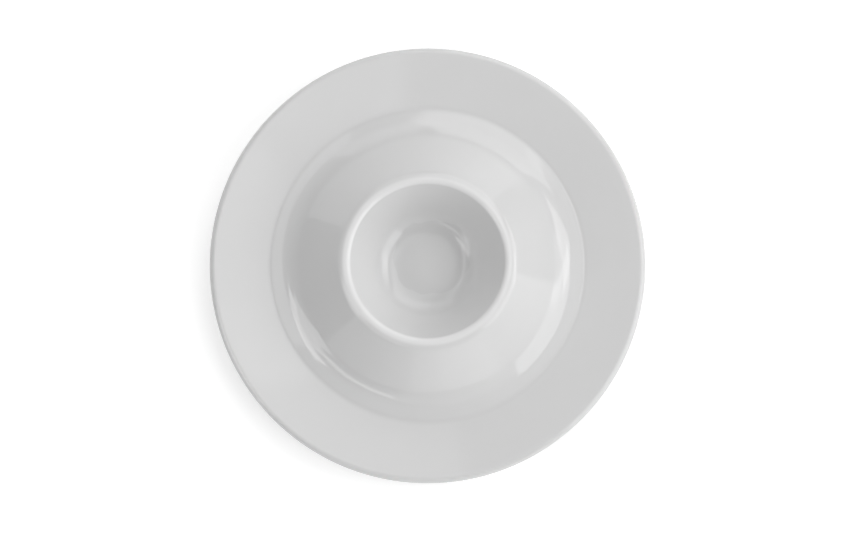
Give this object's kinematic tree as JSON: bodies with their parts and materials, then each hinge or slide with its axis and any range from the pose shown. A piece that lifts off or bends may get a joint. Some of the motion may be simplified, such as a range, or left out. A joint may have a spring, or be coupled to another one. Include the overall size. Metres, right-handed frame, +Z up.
{
  "type": "egg cup",
  "caption": "Low egg cup made in one with its saucer: a double-walled cone with a rounded lip and an open bowl for an egg, flaring down to a wide flat rim on a foot ring.",
  "frame": {"origin": "centre of the foot ring's resting plane, on the axis of the cup", "axes": "+Z up along the axis of the cup, +X to the right and +Y away from the viewer in the picture; the part is the same all round"},
  "size_m": [0.13, 0.13, 0.0226],
  "materials": {
    "glazed_porcelain": "clear gloss glaze over white porcelain"
  },
  "bodies": {
    "root": {"saucer": "glazed_porcelain", "slip_joint": "glazed_porcelain", "cup": "glazed_porcelain"}
  },
  "joints": []
}
